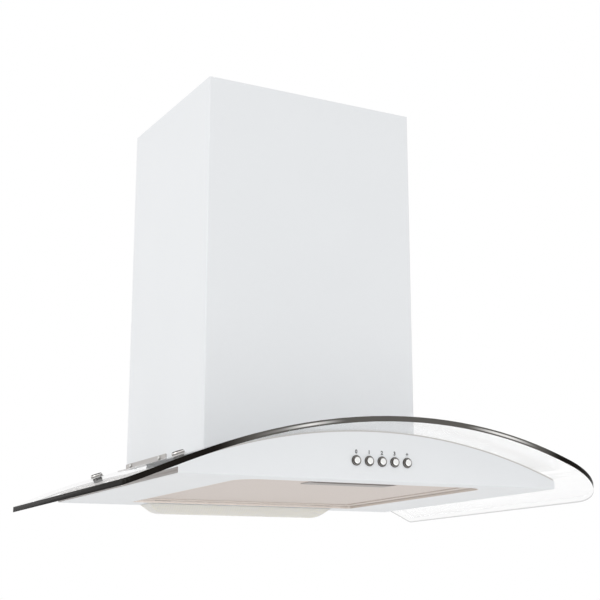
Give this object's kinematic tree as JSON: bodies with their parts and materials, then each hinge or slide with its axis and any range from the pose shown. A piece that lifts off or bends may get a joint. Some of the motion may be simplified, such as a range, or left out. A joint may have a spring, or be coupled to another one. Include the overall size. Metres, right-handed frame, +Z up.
{
  "type": "curved glass range hood",
  "caption": "Wall-mounted chimney range hood with a bent clear-glass canopy, push buttons, hinged grease filter and lamp cover, telescopic chimney and duct collar.",
  "frame": {"origin": "on the wall plane, on the centre line, at the level of the hood's underside", "axes": "+X to the right as seen from the front, +Y into the wall, +Z up"},
  "size_m": [0.6, 0.495, 0.5347],
  "materials": {
    "white_paint": "smooth gloss paint",
    "clear_glass": "clear, polished edge",
    "chrome": "mirror bright",
    "steel_strip": "satin",
    "galvanised": "zinc coated",
    "zinc_screw": "bright zinc",
    "filter_aluminium": "satin",
    "seal_foam": "matt",
    "white_plastic": "matt",
    "dark_plastic": "matt",
    "lamp_cover": "translucent cream",
    "lamp_glass": "frosted",
    "ceramic": "matt",
    "motor_steel": "satin"
  },
  "bodies": {
    "hood": {"body_shell": "white_paint", "side_trim_left": "steel_strip", "side_trim_right": "steel_strip", "top_deck": "white_paint", "glass_canopy": "clear_glass", "glass_seal": "seal_foam", "glass_bushes": "white_plastic", "glass_cap_screws": "chrome", "glass_nuts": "zinc_screw", "wall_plate": "galvanised", "motor_housing": "galvanised", "housing_screws": "zinc_screw", "lower_chimney": "white_paint", "chimney_foot_left": "galvanised", "chimney_foot_right": "galvanised", "chimney_screws": "zinc_screw", "filter_well": "filter_aluminium", "lamp_box": "galvanised", "lamp_holder_left": "ceramic", "lamp_holder_right": "ceramic", "lamp_left": "lamp_glass", "lamp_right": "lamp_glass", "switch_block": "dark_plastic", "switch_screws": "zinc_screw", "button_bezels": "chrome", "fan_scroll": "galvanised", "scroll_screws": "zinc_screw", "inlet_ring": "white_plastic", "motor": "motor_steel", "motor_mount": "galvanised", "motor_screws": "zinc_screw", "capacitor": "white_plastic", "capacitor_clip": "galvanised", "duct_collar": "white_plastic", "collar_screws": "zinc_screw", "damper_pin": "zinc_screw", "terminal_box": "white_plastic", "terminal_lid": "white_plastic", "cable_gland": "dark_plastic"},
    "upper_cover": {"upper_chimney": "white_paint", "chimney_bracket": "galvanised", "bracket_screws": "zinc_screw"},
    "filter": {"filter_frame": "filter_aluminium", "filter_mesh": "filter_aluminium", "filter_handle": "filter_aluminium", "latch_spring": "zinc_screw"},
    "latch": {"filter_latch": "dark_plastic"},
    "light_cover": {"lamp_cover": "lamp_cover"},
    "fan_wheel": {"impeller": "galvanised", "motor_shaft": "zinc_screw"},
    "flap_left": {"damper_flap_left": "white_plastic"},
    "flap_right": {"damper_flap_right": "white_plastic"},
    "push_1": {"button_1": "chrome"},
    "push_2": {"button_2": "chrome"},
    "push_3": {"button_3": "chrome"},
    "push_4": {"button_4": "chrome"},
    "push_5": {"button_5": "chrome"}
  },
  "joints": [
    {"name": "upper_cover_slide", "type": "slide", "parent": "hood", "child": "upper_cover", "axis": [0, 0, 1], "range_m": [0, 0.35]},
    {"name": "filter_hinge", "type": "hinge", "parent": "hood", "child": "filter", "pos_m": [0, -0.063, 0.0037], "axis": [1, 0, 0], "range_deg": [0, 70]},
    {"name": "latch_slide", "type": "slide", "parent": "filter", "child": "latch", "axis": [0, 1, 0], "range_m": [0, 0.005], "stiffness_N_per_m": 300, "springref_m": -0.002, "deforming": ["latch_spring"]},
    {"name": "lamp_cover_hinge", "type": "hinge", "parent": "hood", "child": "light_cover", "pos_m": [0, -0.0238, -0.0012], "axis": [1, 0, 0], "range_deg": [0, 70]},
    {"name": "fan_spin", "type": "hinge", "parent": "hood", "child": "fan_wheel", "pos_m": [0, -0.097, 0.172], "axis": [1, 0, 0], "continuous": true},
    {"name": "flap_left_hinge", "type": "hinge", "parent": "hood", "child": "flap_left", "pos_m": [0, -0.14, 0.2985], "axis": [0, 1, 0], "range_deg": [0, 80]},
    {"name": "flap_right_hinge", "type": "hinge", "parent": "hood", "child": "flap_right", "pos_m": [0, -0.14, 0.2985], "axis": [0, -1, 0], "range_deg": [0, 80]},
    {"name": "button_1_press", "type": "slide", "parent": "hood", "child": "push_1", "axis": [0, 1, 0], "range_m": [0, 0.003], "stiffness_N_per_m": 300, "springref_m": -0.001},
    {"name": "button_2_press", "type": "slide", "parent": "hood", "child": "push_2", "axis": [0, 1, 0], "range_m": [0, 0.003], "stiffness_N_per_m": 300, "springref_m": -0.001},
    {"name": "button_3_press", "type": "slide", "parent": "hood", "child": "push_3", "axis": [0, 1, 0], "range_m": [0, 0.003], "stiffness_N_per_m": 300, "springref_m": -0.001},
    {"name": "button_4_press", "type": "slide", "parent": "hood", "child": "push_4", "axis": [0, 1, 0], "range_m": [0, 0.003], "stiffness_N_per_m": 300, "springref_m": -0.001},
    {"name": "button_5_press", "type": "slide", "parent": "hood", "child": "push_5", "axis": [0, 1, 0], "range_m": [0, 0.003], "stiffness_N_per_m": 300, "springref_m": -0.001}
  ]
}
